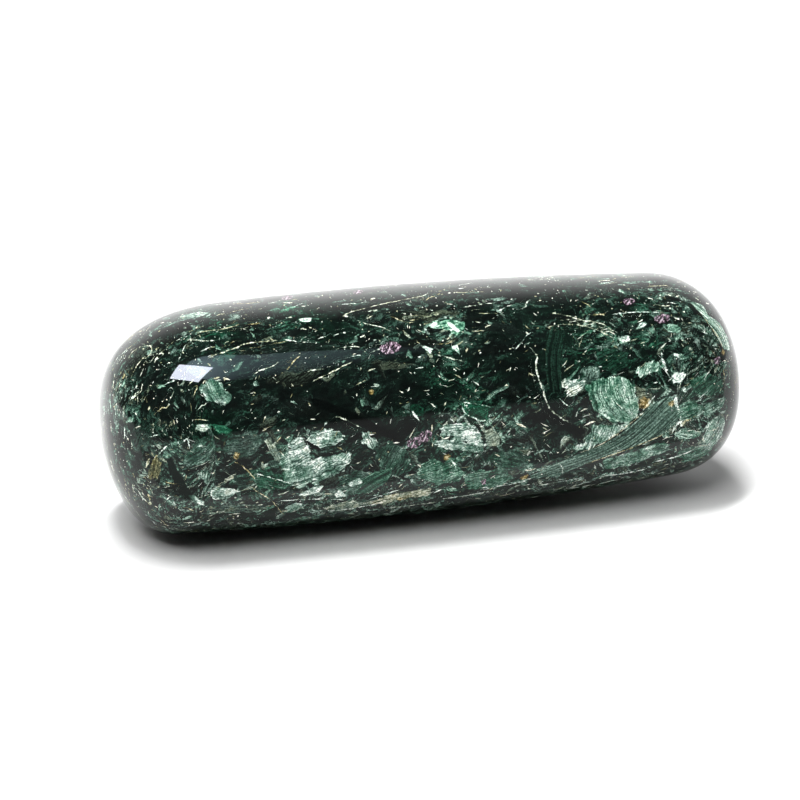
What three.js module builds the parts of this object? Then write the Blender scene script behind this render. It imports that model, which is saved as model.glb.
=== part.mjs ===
// A polished stone of ruby fuchsite: one solid piece of rock, ground and polished by hand into a palm-sized bar.
// Its section is a soft round, a little squarer than an ellipse. It swells towards the middle, it is a little
// stouter at the left, and both ends are drawn in like shallow domes. It lies on a small flat spot on its belly.
// Millimetres. +X runs along the stone, +Y goes from the front face to the back face, and +Z is up.
// The origin is under the middle of the stone, on the surface that it rests on.

import * as THREE from "three";
import { mergeVertices } from "three/addons/utils/BufferGeometryUtils.js";

// Overall sizes of the finished stone.
const LENGTH = 92;
const DEPTH = 30.5;
const HEIGHT = 32.1;

// How much is ground off the belly to make the flat spot.
const FLAT_CUT = 0.4;

// The section across the stone. A power of 2 would be an ellipse, and a higher one is squarer.
const SECTION_POWER = 2.15;
// The section's turn about the length: the front leans back a little at its foot.
const SECTION_ROLL = THREE.MathUtils.degToRad(-5);
// How much the right end is slimmer than the middle, as a share of the section.
const TAPER = 0.045;
// How much both ends are slimmer than the middle, as a share of the section.
const SWELL = 0.11;

// The ends. A dome's depth is how far from its tip it starts to draw in. Its crown share makes the dome deeper, so
// rounder, towards the top of the stone, and its lean tips the whole end over, as a run over a rise.
const DOME_POWER = 2.4;
const LEFT_DOME = { depth: 0.152 * LENGTH, crown: 0.4, lean: 0.03 };
const RIGHT_DOME = { depth: 0.125 * LENGTH, crown: 0, lean: -0.05 };

// The mesh: how many faces run along the stone, and how many across each of its four sides.
const FACES_ALONG = 38;
const FACES_ACROSS = 16;
// The straight stretch that the faces along the stone are spread over, as a share of the length.
const SPREAD_SHARE = 0.74;
// Halvings of the search for the surface along one direction.
const SEARCH_STEPS = 40;

const STONE_COLOUR = new THREE.Color("#2c4638");

// The two halves of the rough height: the flat spot is cut off it afterwards.
const HALF_LENGTH = LENGTH / 2;
const HALF_DEPTH = DEPTH / 2;
const HALF_ROUGH_HEIGHT = (HEIGHT + FLAT_CUT) / 2;

// How far out a point lies, as a share of the way from the stone's middle line to its surface, in the section there.
function sectionShare(x, y, z) {
  const along = x / HALF_LENGTH;
  const stoutness = 1 - TAPER * along - SWELL * along * along;
  const across = y * Math.cos(SECTION_ROLL) + z * Math.sin(SECTION_ROLL);
  const upright = z * Math.cos(SECTION_ROLL) - y * Math.sin(SECTION_ROLL);
  const depthShare = Math.abs(across) / (HALF_DEPTH * stoutness);
  const heightShare = Math.abs(upright) / (HALF_ROUGH_HEIGHT * stoutness);
  return (depthShare ** SECTION_POWER + heightShare ** SECTION_POWER) ** (1 / SECTION_POWER);
}

// How far a point lies into the dome of its end: 0 where the dome starts and 1 at its tip.
function domeShare(x, z) {
  const dome = x < 0 ? LEFT_DOME : RIGHT_DOME;
  const depth = dome.depth * (1 + (dome.crown * z) / HALF_ROUGH_HEIGHT);
  const out = Math.abs(x) - dome.lean * z;
  return Math.max(0, (out - (HALF_LENGTH - depth)) / depth);
}

function isInside(point) {
  const section = sectionShare(point.x, point.y, point.z);
  const dome = domeShare(point.x, point.z);
  return section ** DOME_POWER + dome ** DOME_POWER < 1;
}

// The point of the surface in one direction from the stone's middle.
function surfacePoint(direction) {
  let near = 0;
  let far = LENGTH;
  const point = new THREE.Vector3();
  for (let step = 0; step < SEARCH_STEPS; step++) {
    const middle = (near + far) / 2;
    point.copy(direction).multiplyScalar(middle);
    if (isInside(point)) near = middle;
    else far = middle;
  }
  return point;
}

// A box of small faces, each of whose corners is sent out to the surface. The tangent spreads the corners evenly
// round the section.
function roughStone() {
  const spread = SPREAD_SHARE * HALF_LENGTH;
  const box = new THREE.BoxGeometry(2, 2, 2, FACES_ALONG, FACES_ACROSS, FACES_ACROSS);
  box.deleteAttribute("normal");
  box.deleteAttribute("uv");
  const stone = mergeVertices(box);
  const corners = stone.getAttribute("position");
  const direction = new THREE.Vector3();
  for (let i = 0; i < corners.count; i++) {
    direction.set(
      corners.getX(i) * spread,
      Math.tan((corners.getY(i) * Math.PI) / 4) * HALF_DEPTH,
      Math.tan((corners.getZ(i) * Math.PI) / 4) * HALF_ROUGH_HEIGHT,
    );
    const point = surfacePoint(direction.normalize());
    corners.setXYZ(i, point.x, point.y, point.z);
  }
  return stone;
}

// Brings the rough stone to its exact overall sizes, with its lowest point as far below the resting surface as the
// flat spot is cut.
function bringToSize(stone) {
  stone.computeBoundingBox();
  const size = stone.boundingBox.getSize(new THREE.Vector3());
  const centre = stone.boundingBox.getCenter(new THREE.Vector3());
  stone.translate(-centre.x, -centre.y, -stone.boundingBox.min.z);
  stone.scale(LENGTH / size.x, DEPTH / size.y, (HEIGHT + FLAT_CUT) / size.z);
  stone.translate(0, 0, -FLAT_CUT);
  return stone;
}

// Grinds the flat spot: every corner below the resting surface ends on it.
function grindFlatSpot(stone) {
  const corners = stone.getAttribute("position");
  for (let i = 0; i < corners.count; i++) corners.setZ(i, Math.max(corners.getZ(i), 0));
  stone.computeVertexNormals();
  return stone;
}

function makeStone() {
  const material = new THREE.MeshStandardMaterial({ color: STONE_COLOUR, roughness: 0.08, metalness: 0 });
  const stone = new THREE.Mesh(grindFlatSpot(bringToSize(roughStone())), material);
  stone.name = "polished_stone";
  return stone;
}

const group = new THREE.Group();
group.add(makeStone());

export default group;
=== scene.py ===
# %% [markdown]
# # A polished stone of ruby fuchsite
#
# Ruby fuchsite is a rock of dark green chromium mica with small ruby grains in it. This one was ground by
# hand into a bar of about 92 mm and polished until it shines. The mica lies in it as thousands of thin
# leaves. Where a leaf lies flat in the polished face it shows as a pale, feathery flake, and where it is cut
# on edge it shows as a thin bright line. Nothing stands out of the surface, so the lesson has two halves: one
# smooth body that is made by a rule, and one finish that draws the whole rock in it.

# %% Load the frame
import math

import bpy
import numpy as np
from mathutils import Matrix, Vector
from mathutils.bvhtree import BVHTree


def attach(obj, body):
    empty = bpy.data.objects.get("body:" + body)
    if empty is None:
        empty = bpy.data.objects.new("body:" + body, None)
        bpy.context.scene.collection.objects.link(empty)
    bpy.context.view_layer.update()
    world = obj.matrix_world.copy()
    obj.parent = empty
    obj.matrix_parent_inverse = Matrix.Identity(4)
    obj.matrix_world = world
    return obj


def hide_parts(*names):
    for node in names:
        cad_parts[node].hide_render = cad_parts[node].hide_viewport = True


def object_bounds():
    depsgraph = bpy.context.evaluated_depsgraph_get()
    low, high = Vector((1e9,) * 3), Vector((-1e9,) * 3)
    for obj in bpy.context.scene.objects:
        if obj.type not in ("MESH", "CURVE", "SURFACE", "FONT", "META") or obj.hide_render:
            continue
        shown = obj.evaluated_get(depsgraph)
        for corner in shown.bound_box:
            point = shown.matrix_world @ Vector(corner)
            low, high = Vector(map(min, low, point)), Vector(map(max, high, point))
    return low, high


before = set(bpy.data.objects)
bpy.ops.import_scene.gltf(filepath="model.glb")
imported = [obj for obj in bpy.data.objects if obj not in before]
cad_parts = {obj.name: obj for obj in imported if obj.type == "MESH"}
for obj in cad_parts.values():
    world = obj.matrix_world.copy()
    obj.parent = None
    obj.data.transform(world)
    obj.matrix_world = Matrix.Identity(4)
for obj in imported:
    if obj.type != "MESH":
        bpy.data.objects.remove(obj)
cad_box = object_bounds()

MM = 0.001
CAD_NODE = "polished_stone"
cad_low, cad_high = cad_box
STONE_SIZE = cad_high - cad_low
print("The stone measures", [round(side / MM, 2) for side in STONE_SIZE], "mm")

# %% [markdown]
# ## The camera
#
# The camera comes first, because the marks of the stone are placed by where they show in the picture. It
# stands a little above the stone and to its left, and a long lens keeps the far end nearly as large as the
# near one. The aim is a little off the stone's middle, because the picture isn't centred on it.

# %% Camera
IMAGE_SIZE = 800
CAMERA_AZIMUTH = math.radians(-15)
CAMERA_ELEVATION = math.radians(22)
CAMERA_DISTANCE = 550 * MM
PIXELS_PER_MM = 7.094
ROUGH_MIDDLE = Vector((0, 0, 15.85 * MM))
MIDDLE_SHOWS_AT = (422.65, 396.76)
SENSOR = 36

camera_back = Vector((
    math.sin(CAMERA_AZIMUTH) * math.cos(CAMERA_ELEVATION),
    -math.cos(CAMERA_AZIMUTH) * math.cos(CAMERA_ELEVATION),
    math.sin(CAMERA_ELEVATION),
))
camera_place = ROUGH_MIDDLE + CAMERA_DISTANCE * camera_back
camera_right = Vector((math.cos(CAMERA_AZIMUTH), math.sin(CAMERA_AZIMUTH), 0))
camera_up = camera_back.cross(camera_right)

focal_pixels = PIXELS_PER_MM * CAMERA_DISTANCE / MM
off_right = (IMAGE_SIZE / 2 - MIDDLE_SHOWS_AT[0]) / PIXELS_PER_MM * MM
off_up = (MIDDLE_SHOWS_AT[1] - IMAGE_SIZE / 2) / PIXELS_PER_MM * MM
aim = ROUGH_MIDDLE + off_right * camera_right + off_up * camera_up

lens = bpy.data.cameras.new("long_lens")
lens.sensor_width = SENSOR
lens.lens = focal_pixels * SENSOR / IMAGE_SIZE
lens.clip_start = 10 * MM
lens.clip_end = 100
camera = bpy.data.objects.new("camera", lens)
camera.location = camera_place
camera.rotation_mode = "QUATERNION"
camera.rotation_quaternion = (aim - camera_place).to_track_quat("-Z", "Y")
bpy.context.scene.collection.objects.link(camera)
bpy.context.scene.camera = camera
print("The lens is", round(lens.lens, 1), "mm long")

# %% [markdown]
# ## Sums as nodes
#
# The body and the finish are both written as formulas, and in Blender a formula is a chain of Math nodes.
# Adding each node by hand would bury the formula, so a small class does it: a sum that is written with a wire
# in it adds the node for it. The same class serves geometry trees and shader trees.

# %% Wires that can be calculated with
def plug(tree, socket, value):
    """Gives a node's input a value, or links it to a wire."""
    if isinstance(value, Wire):
        tree.links.new(value.socket, socket)
    elif value is not None:
        socket.default_value = value


def add_node(tree, kind, inputs=None, output=0, **settings):
    """Adds a node with its settings and inputs, and gives back the wire of one of its outputs."""
    node = tree.nodes.new(kind)
    for name, value in settings.items():
        setattr(node, name, value)
    for name, value in (inputs or {}).items():
        plug(tree, node.inputs[name], value)
    return Wire(tree, node.outputs[output])


class Wire:
    """An output of a node. Sums written with it become Math nodes."""

    def __init__(self, tree, socket):
        self.tree = tree
        self.socket = socket

    def math(self, operation, *others, clamp=False):
        values = dict(enumerate((self, *others)))
        return add_node(self.tree, "ShaderNodeMath", values, operation=operation, use_clamp=clamp)

    def reverse(self, operation, other):
        return add_node(self.tree, "ShaderNodeMath", {0: other, 1: self}, operation=operation)

    def __add__(self, other):
        return self.math("ADD", other)

    def __radd__(self, other):
        return self.math("ADD", other)

    def __sub__(self, other):
        return self.math("SUBTRACT", other)

    def __rsub__(self, other):
        return self.reverse("SUBTRACT", other)

    def __mul__(self, other):
        return self.math("MULTIPLY", other)

    def __rmul__(self, other):
        return self.math("MULTIPLY", other)

    def __truediv__(self, other):
        return self.math("DIVIDE", other)

    def __rtruediv__(self, other):
        return self.reverse("DIVIDE", other)

    def __pow__(self, other):
        return self.math("POWER", other)

    def __abs__(self):
        return self.math("ABSOLUTE")


def parts_of(vector):
    """The x, y and z of a vector wire."""
    first = add_node(vector.tree, "ShaderNodeSeparateXYZ", {0: vector})
    node = first.socket.node
    return [Wire(vector.tree, socket) for socket in node.outputs]


def vector_of(tree, x, y, z):
    return add_node(tree, "ShaderNodeCombineXYZ", {0: x, 1: y, 2: z})


def vector_sum(operation, first, second=None, scale=None):
    """A Vector Math node on two vectors, or on a vector and a scale."""
    inputs = {0: first}
    if second is not None:
        inputs[1] = second
    if scale is not None:
        inputs["Scale"] = scale
    output = 1 if operation in ("LENGTH", "DOT_PRODUCT", "DISTANCE") else 0
    return add_node(first.tree, "ShaderNodeVectorMath", inputs, output, operation=operation)


def step_up(value, low, high):
    """0 below the low value, 1 above the high one, and smooth between them."""
    inputs = {"Value": value, "From Min": low, "From Max": high}
    return add_node(value.tree, "ShaderNodeMapRange", inputs, interpolation_type="SMOOTHSTEP")


# %% [markdown]
# ## The body
#
# A hand-ground stone like this has no straight edge, yet its form follows a rule: a section that is a little
# squarer than an ellipse, which swells towards the middle, and two ends that close like shallow domes. It
# could be sculpted or lofted, but Geometry Nodes can hold the rule itself. A finely divided block is wrapped
# on it: each point is moved towards the middle again and again, by a share of how far the rule says that it
# is off. Such a loop is a Repeat zone. A very low ripple is left in the polish, as a hand leaves it, and it
# makes the reflections waver a little.

# %% The rule of the stone
RULE = {
    "Length": STONE_SIZE.x,
    "Depth": STONE_SIZE.y,
    "Height": STONE_SIZE.z,
    "Flat Cut": 0.4 * MM,
    "Section Power": 2.15,
    "Section Roll": math.radians(-5),
    "Taper": 0.045,
    "Swell": 0.11,
    "Dome Power": 2.4,
    "Left Dome": 0.152 * STONE_SIZE.x,
    "Left Crown": 0.4,
    "Left Lean": 0.03,
    "Right Dome": 0.125 * STONE_SIZE.x,
    "Right Lean": -0.05,
    "Ripple Height": 0.035 * MM,
    "Ripple Length": 9 * MM,
}
FACES_ALONG = 236
FACES_ACROSS = 74
SPREAD_SHARE = 0.74
WRAP_STEPS = 44
WRAP_SHARE = 0.28


def how_far_out(place, rule):
    """The rule: 1 on the stone's surface, less inside it and more outside."""
    x, y, z = parts_of(place)
    half_length = rule["Length"] / 2
    half_depth = rule["Depth"] / 2
    half_height = (rule["Height"] + rule["Flat Cut"]) / 2
    along = x / half_length
    stoutness = 1 - rule["Taper"] * along - rule["Swell"] * along * along
    turn_cos = rule["Section Roll"].math("COSINE")
    turn_sin = rule["Section Roll"].math("SINE")
    across = y * turn_cos + z * turn_sin
    upright = z * turn_cos - y * turn_sin
    power = rule["Section Power"]
    section = (
        (abs(across) / (half_depth * stoutness)) ** power
        + (abs(upright) / (half_height * stoutness)) ** power
    ) ** (1 / power)
    is_left = x.math("LESS_THAN", 0)
    is_right = 1 - is_left
    crown = 1 + rule["Left Crown"] * is_left * z / half_height
    dome_depth = (rule["Left Dome"] * is_left + rule["Right Dome"] * is_right) * crown
    out = abs(x) - (rule["Left Lean"] * is_left + rule["Right Lean"] * is_right) * z
    dome = ((out - (half_length - dome_depth)) / dome_depth).math("MAXIMUM", 0)
    power = rule["Dome Power"]
    return (section ** power + dome ** power) ** (1 / power)


def set_position(tree, geometry, position=None, offset=None):
    return add_node(
        tree, "GeometryNodeSetPosition", {"Geometry": geometry, "Position": position, "Offset": offset}
    )


# %% The tree that wraps a block on the rule
def new_tree_with_inputs(name, sizes):
    """A geometry tree with one float input for each size and one for the material."""
    tree = bpy.data.node_groups.new(name, "GeometryNodeTree")
    for size_name in sizes:
        tree.interface.new_socket(size_name, in_out="INPUT", socket_type="NodeSocketFloat")
    tree.interface.new_socket("Material", in_out="INPUT", socket_type="NodeSocketMaterial")
    tree.interface.new_socket("Geometry", in_out="OUTPUT", socket_type="NodeSocketGeometry")
    entry = tree.nodes.new("NodeGroupInput")
    wires = {socket.name: Wire(tree, socket) for socket in entry.outputs if socket.name}
    return tree, wires


def block_with_spread_faces(tree, rule):
    """A divided block, whose rows are spread so that they come out even round the section."""
    block = add_node(
        tree,
        "GeometryNodeMeshCube",
        {
            "Size": (2, 2, 2),
            "Vertices X": FACES_ALONG + 1,
            "Vertices Y": FACES_ACROSS + 1,
            "Vertices Z": FACES_ACROSS + 1,
        },
    )
    x, y, z = parts_of(add_node(tree, "GeometryNodeInputPosition"))
    spread = vector_of(
        tree,
        x * rule["Length"] * (SPREAD_SHARE / 2),
        (y * (math.pi / 4)).math("TANGENT") * rule["Depth"] / 2,
        (z * (math.pi / 4)).math("TANGENT") * rule["Height"] / 2,
    )
    return set_position(tree, block, position=spread)


def wrap_on_rule(tree, geometry, rule):
    """A Repeat zone, which moves every point a share of the way to the surface at each step."""
    zone_in = tree.nodes.new("GeometryNodeRepeatInput")
    zone_out = tree.nodes.new("GeometryNodeRepeatOutput")
    zone_in.pair_with_output(zone_out)
    zone_in.inputs["Iterations"].default_value = WRAP_STEPS
    plug(tree, zone_in.inputs["Geometry"], geometry)
    place = add_node(tree, "GeometryNodeInputPosition")
    excess = how_far_out(place, rule) - 1
    nearer = vector_sum("SCALE", place, scale=1 - excess * WRAP_SHARE)
    moved = set_position(tree, Wire(tree, zone_in.outputs["Geometry"]), position=nearer)
    plug(tree, zone_out.inputs["Geometry"], moved)
    return Wire(tree, zone_out.outputs["Geometry"])


def add_ripple(tree, geometry, rule):
    """The low ripple that a hand leaves in a polish."""
    place = add_node(tree, "GeometryNodeInputPosition")
    waves = add_node(
        tree, "ShaderNodeTexNoise", {"Vector": place, "Scale": 1 / rule["Ripple Length"], "Detail": 1.0}
    )
    outwards = add_node(tree, "GeometryNodeInputNormal")
    rise = (waves - 0.5) * rule["Ripple Height"] * 2
    return set_position(tree, geometry, offset=vector_sum("SCALE", outwards, scale=rise))


def bring_to_size(tree, geometry, rule):
    """Scales the body to its exact sizes, stands it on the flat spot and grinds that flat."""
    bound = add_node(tree, "GeometryNodeBoundBox", {"Geometry": geometry}, "Min").socket.node
    low = Wire(tree, bound.outputs["Min"])
    high = Wire(tree, bound.outputs["Max"])
    middle = vector_sum("SCALE", vector_sum("ADD", low, high), scale=0.5)
    size = vector_sum("SUBTRACT", high, low)
    wanted = vector_of(tree, rule["Length"], rule["Depth"], rule["Height"] + rule["Flat Cut"])
    place = add_node(tree, "GeometryNodeInputPosition")
    centred = vector_sum("SUBTRACT", place, middle)
    sized = vector_sum("MULTIPLY", centred, vector_sum("DIVIDE", wanted, size))
    x, y, z = parts_of(sized)
    ground = (z + (rule["Height"] - rule["Flat Cut"]) / 2).math("MAXIMUM", 0)
    return set_position(tree, geometry, position=vector_of(tree, x, y, ground))


def make_body_tree():
    tree, rule = new_tree_with_inputs("stone_body", RULE)
    body = block_with_spread_faces(tree, rule)
    body = wrap_on_rule(tree, body, rule)
    body = add_ripple(tree, body, rule)
    body = bring_to_size(tree, body, rule)
    body = add_node(tree, "GeometryNodeSetShadeSmooth", {"Geometry": body})
    body = add_node(tree, "GeometryNodeRealizeInstances", {"Geometry": body})
    body = add_node(tree, "GeometryNodeSetMaterial", {"Geometry": body, "Material": rule["Material"]})
    exit_node = tree.nodes.new("NodeGroupOutput")
    plug(tree, exit_node.inputs["Geometry"], body)
    return tree


# %% Make the body a plain mesh
def run_tree(tree, values, name):
    """Runs a geometry tree once and gives back its result as a plain mesh object."""
    carrier = bpy.data.objects.new(name + "_carrier", bpy.data.meshes.new(name + "_start"))
    bpy.context.scene.collection.objects.link(carrier)
    modifier = carrier.modifiers.new("tree", "NODES")
    modifier.node_group = tree
    for item in tree.interface.items_tree:
        if item.in_out == "INPUT":
            modifier[item.identifier] = values[item.name]
    graph = bpy.context.evaluated_depsgraph_get()
    mesh = bpy.data.meshes.new_from_object(carrier.evaluated_get(graph), depsgraph=graph)
    bpy.data.objects.remove(carrier)
    mesh.name = name
    made = bpy.data.objects.new(name, mesh)
    bpy.context.scene.collection.objects.link(made)
    return made


rock = bpy.data.materials.new("polished_ruby_fuchsite")
stone = run_tree(make_body_tree(), {**RULE, "Material": rock}, "stone_body")
triangles = sum(len(face.vertices) - 2 for face in stone.data.polygons)
print("The body has", triangles, "triangles and", len(stone.data.vertices), "points")

# %% [markdown]
# ## The floor and the light
#
# The stone lies on a white table. A broad soft light hangs over it, the back of the room is white and the
# room behind the camera is dark, so a polished stone shows a pale veil along its upper edge and its ends, and
# is black where it mirrors the dark side. A small softbox at the upper left gives the one sharp glint, and a
# wider and much dimmer lamp beside it gives the faint glow that runs on from the glint.

# %% Floor
FLOOR_SIDE = 12.0
FLOOR_WHITE = 0.9
# In front of the stone the polish mirrors a greyer table: its grey, and where it starts, in metres into the
# depth.
FLOOR_MIRRORED = 0.38
FLOOR_FADES_AT = -0.02
# Behind the stone the polish mirrors the table ever brighter, up to the white room that it runs into.
FLOOR_GLOWS_FROM = 0.0
FLOOR_GLOWS_TO = 0.08
FLOOR_GLOW = 1.2


def make_floor():
    half = FLOOR_SIDE / 2
    mesh = bpy.data.meshes.new("floor")
    corners = [(-half, -half, 0), (half, -half, 0), (half, half, 0), (-half, half, 0)]
    mesh.from_pydata(corners, [], [(0, 1, 2, 3)])
    floor = bpy.data.objects.new("floor", mesh)
    bpy.context.scene.collection.objects.link(floor)
    paper = bpy.data.materials.new("white_table")
    paper.use_nodes = True
    tree = paper.node_tree
    shader = tree.nodes["Principled BSDF"]
    is_mirrored = add_node(tree, "ShaderNodeLightPath", output="Is Glossy Ray")
    _, depth, _ = parts_of(add_node(tree, "ShaderNodeTexCoord", output="Object"))
    is_front = depth.math("LESS_THAN", FLOOR_FADES_AT)
    white = is_mirrored * is_front * (FLOOR_MIRRORED - FLOOR_WHITE) + FLOOR_WHITE
    plug(tree, shader.inputs["Base Color"], vector_of(tree, white, white, white))
    shader.inputs["Emission Color"].default_value = (1, 1, 1, 1)
    glow = step_up(depth, FLOOR_GLOWS_FROM, FLOOR_GLOWS_TO) * is_mirrored * FLOOR_GLOW
    plug(tree, shader.inputs["Emission Strength"], glow)
    shader.inputs["Roughness"].default_value = 1.0
    shader.inputs["Specular IOR Level"].default_value = 0.0
    mesh.materials.append(paper)


make_floor()
print("The floor is", FLOOR_SIDE, "m wide")

# %% World
# How bright the room is behind the stone and on the camera's side, and how much of it lights dull surfaces.
WHITE_ROOM = 2.2
DARK_ROOM = 0.012
DIFFUSE_SHARE = 0.7


def make_world():
    """White behind the stone, dark on the camera's side, and plain white where the camera looks past it."""
    world = bpy.data.worlds.new("studio")
    bpy.context.scene.world = world
    world.use_nodes = True
    tree = world.node_tree
    tree.nodes.clear()
    direction = add_node(tree, "ShaderNodeTexCoord", output="Generated")
    towards_camera = vector_sum("DOT_PRODUCT", direction, tuple(camera_back))
    brightness = {
        "Value": towards_camera,
        "From Min": 0.0,
        "From Max": -0.8,
        "To Min": DARK_ROOM,
        "To Max": WHITE_ROOM,
    }
    share = add_node(tree, "ShaderNodeMapRange", brightness, interpolation_type="SMOOTHSTEP")
    is_seen = add_node(tree, "ShaderNodeLightPath", output="Is Camera Ray")
    is_diffuse = add_node(tree, "ShaderNodeLightPath", output="Is Diffuse Ray")
    strength = (share * (1 - is_diffuse * (1 - DIFFUSE_SHARE))).math("MAXIMUM", is_seen)
    shine = add_node(tree, "ShaderNodeBackground", {"Color": (1, 1, 1, 1), "Strength": strength})
    out = tree.nodes.new("ShaderNodeOutputWorld")
    plug(tree, out.inputs["Surface"], shine)


make_world()
print("Behind the stone the room is", round(WHITE_ROOM / DARK_ROOM), "times brighter than in front")


# %% Lamps
def spot_on_stone(pixel):
    """Where the camera's ray through a pixel meets the stone, with the surface's direction there."""
    across = (pixel[0] - MIDDLE_SHOWS_AT[0]) / focal_pixels
    down = (pixel[1] - MIDDLE_SHOWS_AT[1]) / focal_pixels
    ray = (across * camera_right - down * camera_up - camera_back).normalized()
    place, normal, _, _ = stone_tree.ray_cast(camera_place, ray)
    return place, normal, ray


def make_lamp(name, place, target, width, height, power, colour, shines=True):
    light = bpy.data.lights.new(name, "AREA")
    light.shape = "RECTANGLE"
    light.size = width
    light.size_y = height
    light.energy = power
    light.color = colour
    lamp = bpy.data.objects.new(name, light)
    lamp.location = place
    lamp.rotation_mode = "QUATERNION"
    lamp.rotation_quaternion = (target - place).to_track_quat("-Z", "Y")
    lamp.visible_glossy = shines
    bpy.context.scene.collection.objects.link(lamp)
    return lamp


stone_points = [vertex.co.copy() for vertex in stone.data.vertices]
stone_faces = [tuple(face.vertices) for face in stone.data.polygons]
stone_tree = BVHTree.FromPolygons(stone_points, stone_faces)

make_lamp(
    "overhead_light",
    place=Vector((-0.06, 0.07, 0.9)),
    target=Vector((0, 0, 0)),
    width=0.42,
    height=0.12,
    power=8.4,
    colour=(1, 1, 1),
    shines=False,
)

GLINT_AT = (190, 373)
GLINT_DISTANCE = 0.9
glint_place, glint_normal, glint_ray = spot_on_stone(GLINT_AT)
bounce = glint_ray.reflect(glint_normal)
softbox = make_lamp(
    "glint_softbox",
    place=glint_place + GLINT_DISTANCE * bounce,
    target=glint_place,
    width=0.42,
    height=0.25,
    power=13.0,
    colour=(0.82, 0.86, 1.0),
)
softbox.visible_diffuse = False

# A faint round glow beside the softbox. A narrow spread makes it fade away from the softbox.
beside_softbox = 0.33 * camera_right
glow = make_lamp(
    "softbox_glow",
    place=softbox.location + beside_softbox,
    target=glint_place + beside_softbox,
    width=0.8,
    height=0.4,
    power=0.85,
    colour=(0.6, 0.82, 0.95),
)
glow.data.shape = "ELLIPSE"
glow.data.spread = math.radians(70)
glow.visible_diffuse = False

make_lamp(
    "key_light",
    place=softbox.location,
    target=glint_place,
    width=0.7,
    height=0.5,
    power=6.6,
    colour=(1, 1, 1),
    shines=False,
)

fill = make_lamp(
    "front_fill",
    place=camera_place + 0.25 * camera_up - 0.2 * camera_right,
    target=ROUGH_MIDDLE,
    width=0.5,
    height=0.5,
    power=3.8,
    colour=(1, 1, 1),
    shines=False,
)
lit_by_fill = bpy.data.collections.new("lit_by_front_fill")
lit_by_fill.objects.link(stone)
fill.light_linking.receiver_collection = lit_by_fill
print("The glint's lamp stands at", [round(part, 2) for part in softbox.location], "m")

# %% [markdown]
# ## Marks that follow the photograph
#
# The larger flakes, cracks and ruby grains have their own places in this stone. They could be drawn as an
# image, but an image is only as sharp as its pixels. Each mark is instead an outline or a line of a few
# points, given where it shows in the picture, and laid on the stone along the camera's rays. Every point of
# the body then stores how far it is from the nearest outline. A distance changes evenly from point to point,
# so the material can cut a crisp edge anywhere in between. The same points also store along and across the
# flake's comb, which is the direction that its fine ridges take.

# %% The body's points as arrays
body_points = np.array([vertex.co for vertex in stone.data.vertices]) / MM
body_normals = np.array([vertex.normal for vertex in stone.data.vertices])
# In millimetres: a distance that stands for far away, and how far round a mark its distances are stored.
FAR_OFF = 9.0
MARGIN = 1.6
# How nearly a point must face the way that a flake does, as a cosine, to belong to it.
FACING = 0.2
# Flakes have this many different patterns, which they take in turn.
PATTERNS = 17


def write_vectors(name, values):
    """Stores one vector for each point of the body."""
    attribute = stone.data.attributes.new(name, "FLOAT_VECTOR", "POINT")
    attribute.data.foreach_set("vector", np.asarray(values, np.float32).ravel())


def laid_on_stone(pixels):
    """Where pixels of the picture lie on the stone, in millimetres, and the surface's mean normal there."""
    spots = [spot_on_stone(pixel) for pixel in pixels]
    places = np.array([spot[0] for spot in spots]) / MM
    normal = np.array([spot[1] for spot in spots]).mean(axis=0)
    return places, normal / np.linalg.norm(normal)


def slope_on_stone(pixel, slope, normal):
    """A direction on the stone that shows in the picture with a slope, in degrees above the right."""
    rise = math.radians(slope)
    end = (pixel[0] + math.cos(rise), pixel[1] - math.sin(rise))
    places, _ = laid_on_stone([pixel, end])
    direction = places[1] - places[0]
    direction -= normal * (direction @ normal)
    return direction / np.linalg.norm(direction)


def distance_to_outline(flat, corners):
    """How far flat points are from a closed outline, negative inside it."""
    inside = np.zeros(len(flat), bool)
    nearest = np.full(len(flat), FAR_OFF)
    for start, end in zip(corners, np.roll(corners, -1, axis=0)):
        side = end - start
        share = np.clip((flat - start) @ side / (side @ side), 0, 1)
        gap = np.linalg.norm(flat - start - share[:, None] * side, axis=1)
        nearest = np.minimum(nearest, gap)
        straddles = (start[1] > flat[:, 1]) != (end[1] > flat[:, 1])
        rise = side[1] if abs(side[1]) > 1e-9 else 1e-9
        crossing = start[0] + (flat[:, 1] - start[1]) / rise * side[0]
        inside ^= straddles & (flat[:, 0] < crossing)
    return np.where(inside, -nearest, nearest)


def distance_to_path(points, path, normal):
    """How far points are from a path, with a sign for its side, and how far along it they are."""
    best = np.full(len(points), FAR_OFF)
    side = np.full(len(points), FAR_OFF)
    run = np.zeros(len(points))
    walked = 0.0
    for start, end in zip(path[:-1], path[1:]):
        step = end - start
        length = np.linalg.norm(step)
        share = np.clip((points - start) @ step / length**2, 0, 1)
        off = points - start - share[:, None] * step
        gap = np.linalg.norm(off, axis=1)
        nearer = gap < best
        best[nearer] = gap[nearer]
        sign = np.where(off @ np.cross(normal, step) < 0, -1, 1)
        side[nearer] = (gap * sign)[nearer]
        run[nearer] = (walked + share * length)[nearer]
        walked += length
    return side, run, walked


def smoothed(path, rounds=2):
    """A path with its corners cut off, which bends as a drawn line does."""
    for _ in range(rounds):
        quarter = 0.75 * path[:-1] + 0.25 * path[1:]
        three_quarters = 0.25 * path[:-1] + 0.75 * path[1:]
        between = np.stack([quarter, three_quarters], axis=1).reshape(-1, path.shape[1])
        path = np.vstack([path[:1], between, path[-1:]])
    return path


# %% Laying flakes
# Ridges that follow a path are longer and broader: these shares of their real sizes count.
BAND_LENGTH = 0.16
BAND_WIDTH = 0.6
# How many millimetres across a comb one radian between its arcs counts for.
ARC_SPACING = 3.2


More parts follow.
